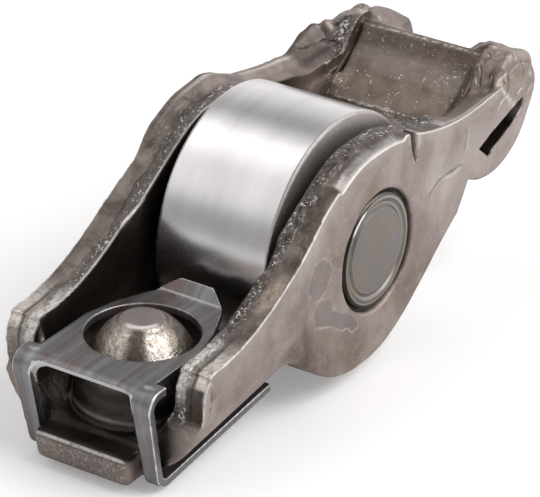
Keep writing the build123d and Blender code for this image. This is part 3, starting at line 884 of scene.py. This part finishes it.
# %% the painted highlight along the inner rim
inner_line = np.clip(1.2 - np.abs(tilt - 0.55) / 0.40, 0, 1)
inner_line = inner_line * (1 - ramp(side, 5.35, 5.5)) * (side > 4.9) * on_rim
inner_line *= (ramp(z, wall_top - 0.34, wall_top - 0.2) * (1 - ramp(x, 6, 8))
               * np.where(y > 0, 1.2, 0.25))
rim_y = np.full(tenths, 9.0)
on_top = (y > 4.8) & (z > wall_top - 0.35)
np.minimum.at(rim_y, tenth(x[on_top]), y[on_top])
rim_y = along_wall(x, np.convolve(rim_y, np.ones(7) / 7, "same"))
fringe = (y > 4.8) * ramp(z, wall_top - 0.40, wall_top - 0.25)
fringe = fringe * (1 - ramp(y - rim_y, 0.06, 0.17)) * (1 - ramp(tilt, 0.72, 0.92))
fringe *= stretch(x, -19.5, -18.0, -2.0, 1.0)
inner_line = np.maximum(inner_line * (1 - ramp(side, 5.10, 5.26)), 1.1 * fringe)
tell("inner line", inner_line)

# %% the painted highlight on the crown's rim, and the painted shade inside the trough
from_dome = np.hypot(x - dome_x, y)
crown_rim = 1.4 * hump(from_dome, 1.30, 0.13) * (z > -0.3)
facing_left = (-0.835 * (x - dome_x) - 0.55 * y) / np.maximum(from_dome, 0.1)
crown_rim *= ramp(facing_left, 0.55, 0.85)
inside = ramp(5.55 - side, 0, 0.2) * ramp(-net.normal[:, 1] * np.sign(y), 0.2, 0.6)
inside = inside * (1 - ramp(x, 8, 11) * 0.6)
floor = (1 - ramp(side, 4.9, 5.2)) * (1 - ramp(z, -3.4, -2.4)) * (x > -20.9) * (x < -8)
floor = floor * (z > -7.2 + 0.117 * (x - dome_x) + 0.7)
tongue = (x < -18.5) * (side < 5.2) * ramp(net.normal[:, 2], 0.15, 0.38) * (z < -4.3)
band = (from_dome < 4.7) * (1 - ramp(z, -2.4, -1.2)) * (z > -6.2) * 0.8
band *= 1 - (x < -17.5) * ramp(z, -3.95, -3.75) * 0.5
# a faint painted highlight round the dome's foot
hem = 0.2 * hump(z, -4.95, 0.09) * (x < -18.0) * (from_dome < 4.9)
slot = (x > 12.0) * (x < 19.2) * (z > -0.6) * (z < 4.6) * (side > 4.6) * (side < 7.12)
slot = slot * (tilt < 0.75)
slot = slot * (1 - ramp(np.abs((x - 15.9) * 0.77 - (z - 2.0) * 0.63), 0.9, 1.2))
inside = np.maximum.reduce([inside, floor, tongue, band, slot])
tell("inside", inside)

# %% painted shade in deep corners, round the pin's ring, in creases and in the dip beside the pin, and the dark stripe on the near front end
dip_shade = 0.45 * stroke([(-8.7, -7.35, -1.9), (-8.35, -7.3, -3.4), (-8.3, -7.2, -4.6)], 0.40)
ring = np.hypot(x, z)
deep = net.spread(ramp(-bulge, 0.012, 0.06), 3)
deep = np.maximum(deep, (1 - ramp(ring, 4.08, 4.22)) * ramp(side, 5.5, 6.5))
end = (x < -19.2) * (y < 0) * ramp(side, 6.50, 6.66) * (1 - ramp(side, 7.22, 7.36))
end = end * ramp(-z, 0.85, 1.05) * (1 - ramp(-z, 3.1, 3.3))
deep = np.maximum(deep, 1.2 * end)
deep = np.maximum(deep, np.interp(grooves, [0.3, 0.9], [0, 0.8]))
tell("dark stripe", end)

# %% painted shade in the notch's cleft and a painted highlight on its bright side
down, off = notch_at(x, z)
off = off / notch_half(down)
notch = (side > 6.2) * (y < 0) * (z > 4.3) * (z < 6.9)
deep = np.maximum(deep, 1.3 * notch * ramp(off, -1.1, -0.8) * (1 - ramp(off, 0.5, 0.8)))
outer_line *= 1 - notch * (np.abs(off) < 1.0)
shine = 0.55 * notch * ramp(off, 0.75, 0.95) * (1 - ramp(off, 1.2, 1.5)) * ramp(z, 5.2, 5.5)
tell("round the notch", notch)

# %% the numbers go onto the mesh
bend = (x > -12) * (x < -7) * (z < -1.8) * (side > 6.0)
# no painted highlights on the far lug's shoulder, which is painted in shade
shaded_shoulder = (y > 6.0) * (x > 11.8) * (x < 15.4) * (z > 4.6)
rubbed = ramp(bulge, 0.020, 0.05) * (1 - bend) * (1 - end)
# the rubbed rims are wear and painted highlight, the inside and the deep corners painted shade, and
# the edge lines painted highlights
net.paint("cut", net.spread(cut, 2))
net.paint("inside", net.spread(inside, 3))
net.paint("rubbed", rubbed * (1 - net.spread(shaded_shoulder.astype(float), 3)))
net.paint("deep", np.maximum(deep * (1 - bend * (x > -8.1)), dip_shade))
net.paint("edge", np.maximum.reduce([outer_line, inner_line, crown_rim, folds, hem, 0.7 * shine]))
print("numbers on the mesh:", [name for name in lever.data.attributes.keys() if name[0] != "."])

# %% fewer faces where it is flat
def thinned(piece, triangles):
    """Merges faces where the mesh is flat until it has about so many triangles."""
    alone(piece)
    thin = piece.modifiers.new("thin", "DECIMATE")
    thin.ratio = min(1.0, triangles / (2 * len(piece.data.polygons)))
    thin.use_collapse_triangulate = True
    bpy.ops.object.modifier_apply(modifier="thin")
    print(piece.name, "now has", len(piece.data.polygons), "triangles")


lever_triangles, clip_triangles = 190000, 120000
thinned(lever, lever_triangles)
dress(lever, lever_steel, "lever", "lever_body")

# %% the spring clip
clip = wrapped("retaining_clip", "spring_clip", clip_cell, 4)
net = Net(clip)
x, y, z = net.co.T
side = np.abs(y)
corner = hump(np.hypot(x + 22.0, z + 1.3), 0, 0.7) * hump(side, 4.2, 0.8)
net.co += (0.14 * corner)[:, None] * net.normal
net.write()

# %% numbers for the clip's finish
net = Net(clip)
bulge = net.bulge(5)
print("clip bulge from", bulge.min().round(3), "to", bulge.max().round(3), "mm")
x, y, z = net.co.T
side = np.abs(y)
window = z[(side < 2) & (x < -21.3) & (z > -3)].min()
print("window's top edge at z", round(float(window), 2))
lip = (side < 3.75) * (x < -21.2) * (1 - ramp(z, window + 0.34, window + 0.44)) * (z > -3)
lip *= ramp(-net.normal[:, 0], 0.1, 0.4)
hole_rim = 1 - 0.5 * (np.hypot(x - dome_x, y) < 4.6) * (z > -2)
# painted highlights on the clip's two upper front corners
corner_highlights = 0.5 * hump(np.hypot(x + 21.2, z + 0.95), 0, 0.4) * hump(side, 4.3, 0.7)
net.paint("rubbed", np.maximum.reduce([ramp(bulge, 0.008, 0.022) * hole_rim, 1.1 * lip, corner_highlights]))
# painted shade in the clip's inner corners
net.paint("deep", net.spread(ramp(-bulge, 0.01, 0.05), 2))
thinned(clip, clip_triangles)
dress(clip, spring_steel, "lever", "retaining_clip")

# %% [markdown]
# ## The roller and its pin
# Both are turned parts, so each starts as a cylinder across the lever. The roller's
# sides are inset and bridged for its bore, and its rims are bevelled a little less than
# the solid's. The pin keeps whole ends, into which the staking ring is pressed.


# %% helpers for turned parts
def flat_ends(piece, least):
    """Selects the faces that look along Y at a distance of at least `least` mm, in edit mode."""
    bpy.ops.mesh.select_mode(type="FACE")
    bpy.ops.mesh.select_all(action="DESELECT")
    mode("OBJECT")
    for face in piece.data.polygons:
        face.select = abs(face.normal.y) > 0.9 and abs(face.center.y) > least * MM
    mode("EDIT")


def rims(piece, radius):
    """Selects the edges that lie round the Y axis at a radius in mm, on a flat end."""
    bpy.ops.mesh.select_mode(type="EDGE")
    bpy.ops.mesh.select_all(action="DESELECT")
    mode("OBJECT")
    points = piece.data.vertices
    for edge in piece.data.edges:
        a, b = (points[i].co for i in edge.vertices)
        edge.select = (
            abs(a.y - b.y) < 1e-7
            and all(abs(math.hypot(p.x, p.z) - radius * MM) < 2e-5 for p in (a, b))
        )
    mode("EDIT")


def turned_blank(name, radius, width, sides):
    """A plain cylinder across the lever, with its sizes in mm."""
    bpy.ops.object.select_all(action="DESELECT")
    bpy.ops.mesh.primitive_cylinder_add(
        vertices=sides, radius=radius * MM, depth=width * MM,
        end_fill_type="NGON", rotation=(math.pi / 2, 0, 0))
    piece = bpy.context.object
    piece.name = name
    bpy.ops.object.transform_apply(location=False, rotation=True, scale=False)
    return piece


# %% the roller
low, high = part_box("roller")
roller_r = (high[0] - low[0]) / 2 / MM
roller_w = (high[1] - low[1]) / MM
race_r, rim_bevel, bore_bevel = 5.54, 0.26, 0.3
roller = turned_blank("cam_roller", roller_r, roller_w, 192)
mode("EDIT")
flat_ends(roller, 1)
bpy.ops.mesh.inset(thickness=(roller_r - race_r) * MM)
bpy.ops.mesh.bridge_edge_loops()
rims(roller, roller_r)
bpy.ops.mesh.bevel(offset=rim_bevel * MM, segments=4, profile=0.6, affect="EDGES")
rims(roller, race_r)
bpy.ops.mesh.bevel(offset=bore_bevel * MM, segments=3, affect="EDGES")
bpy.ops.mesh.select_all(action="SELECT")
bpy.ops.mesh.normals_make_consistent(inside=False)
mode("OBJECT")
print("roller", round(2 * roller_r, 2), "x", round(roller_w, 2), "mm,",
      len(roller.data.polygons), "faces")
dress(roller, ground_steel, "roller", "roller")
bpy.ops.object.shade_smooth_by_angle(angle=math.radians(30))

# %% the staked pin
low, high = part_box("roller_pin")
pin_r = (high[0] - low[0]) / 2 / MM
pin_half = (high[1] - low[1]) / 2 / MM
pin = turned_blank("staked_pin", pin_r, 2 * pin_half, 128)
mode("EDIT")
flat_ends(pin, 5)
stakes = ((0.52, 0.0), (0.16, -0.14), (0.18, 0.0), (0.16, 0.12), (1.4, 0.0))
for inward, outward in stakes:
    bpy.ops.mesh.inset(thickness=inward * MM, depth=outward * MM)
rims(pin, pin_r)
pin_bevel = 0.24
bpy.ops.mesh.bevel(offset=pin_bevel * MM, segments=3, affect="EDGES")
mode("OBJECT")
print("pin", round(2 * pin_r, 2), "x", round(2 * pin_half, 2), "mm,",
      len(pin.data.polygons), "faces")
dress(pin, pin_steel, "lever", "roller_pin")
bpy.ops.object.shade_smooth_by_angle(angle=math.radians(30))

# %% [markdown]
# ## The needles
# Eighteen plain cylinders with broken corners, hidden between pin and roller. Their
# solids are already right, so they only get their steel.

# %% needles
for name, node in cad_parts.items():
    if name.startswith("needle"):
        node.data.materials.clear()
        node.data.materials.append(needle_steel)
print("needles finished:", sum(n.startswith("needle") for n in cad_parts))

# %% [markdown]
# ## Table and light
# The lever lies on white paper under two soft boxes, a strong one over its near wall and
# a weak one over its far wall. Steel shows what stands round it, so the room is grey with
# four bright patches and a dark one. Where the camera sees room or paper directly, the
# room is plain white and the paper glows a little; neither lights the lever.

# %% the table
bpy.ops.object.select_all(action="DESELECT")
clear = 2e-5  # metres
bpy.ops.mesh.primitive_plane_add(size=3, location=(0, 0, table_z * MM - clear))
table = bpy.context.object
table.name = "table"
bpy.ops.object.transform_apply(location=True, rotation=False, scale=False)
white = Finish("white_paper")
paper = white.node("ShaderNodeBsdfDiffuse", {}, {"Color": (0.90, 0.90, 0.90, 1)})
glow = white.node("ShaderNodeEmission", {}, {"Color": (1, 1, 1, 1), "Strength": 0.22})
seen = white.node("ShaderNodeLightPath", {}, {}, "Is Camera Ray")
glow = white.node("ShaderNodeMixShader", {}, {0: seen, 2: glow})
surface = white.node("ShaderNodeAddShader", {}, {0: paper, 1: glow})
out = white.tree.nodes.new("ShaderNodeOutputMaterial")
white.tree.links.new(surface.socket, out.inputs["Surface"])
table.data.materials.append(white.material)

# %% the room
world = bpy.data.worlds.new("room")
bpy.context.scene.world = world
world.use_nodes = True
room = Finish.__new__(Finish)  # a world has a node tree but is no material
room.tree = world.node_tree
room.tree.nodes.clear()
outlook = room.node("ShaderNodeTexCoord", {}, {})
level = 0.40  # the room's grey; each patch has its place, core and rim in degrees
for azimuth, height, inner, outer, more in (
    (136, 45, 16, 30, 0.60),
    (87, 61, 1, 23, 0.80),
    (28, 0, 8, 45, 0.65),
    (-40, 12, 20, 60, 0.80),
    (-155, 62, 8, 22, -0.36),
):
    azimuth, height = math.radians(azimuth), math.radians(height)
    ground = math.cos(height)
    direction = (math.cos(azimuth) * ground, math.sin(azimuth) * ground, math.sin(height))
    facing = room.node("ShaderNodeVectorMath", {"operation": "DOT_PRODUCT"},
                       {0: outlook, 1: direction}, "Value")
    rim_cosine, core_cosine = math.cos(math.radians(outer)), math.cos(math.radians(inner))
    level = facing.between(rim_cosine, core_cosine) * more + level
tint = room.vector(level, level * 0.985, level * 0.985)
lit = room.node("ShaderNodeBackground", {}, {"Color": tint})
seen = room.node("ShaderNodeBackground", {}, {"Color": (1, 1, 1, 1)})
camera_ray = room.node("ShaderNodeLightPath", {}, {}, "Is Camera Ray")
either = room.node("ShaderNodeMixShader", {}, {0: camera_ray, 1: lit, 2: seen})
out = room.tree.nodes.new("ShaderNodeOutputWorld")
room.tree.links.new(either.socket, out.inputs["Surface"])
print("room has", len(room.tree.nodes), "nodes")


# %% soft lamps
def soft_box(name, toward, far, wide, long, radiance):
    """A lamp `far` mm away in a direction, which looks back at the lever."""
    bpy.ops.object.select_all(action="DESELECT")
    direction = Vector(toward).normalized()
    bpy.ops.object.light_add(type="AREA", location=direction * far * MM)
    lamp = bpy.context.object
    lamp.name = name
    lamp.data.shape = "RECTANGLE"
    lamp.data.size, lamp.data.size_y = wide * MM, long * MM
    lamp.data.energy = radiance * math.pi * wide * long * MM * MM
    lamp.rotation_euler = direction.to_track_quat("Z", "Y").to_euler()
    print(name, "gives", round(lamp.data.energy, 2), "W")


soft_box("left_box", (0.0, 0.50, 0.87), 520, 160, 300, 0.4)
soft_box("right_box", (0.12, -0.63, 0.77), 520, 340, 340, 4.0)
bpy.context.scene.view_settings.view_transform = "Standard"
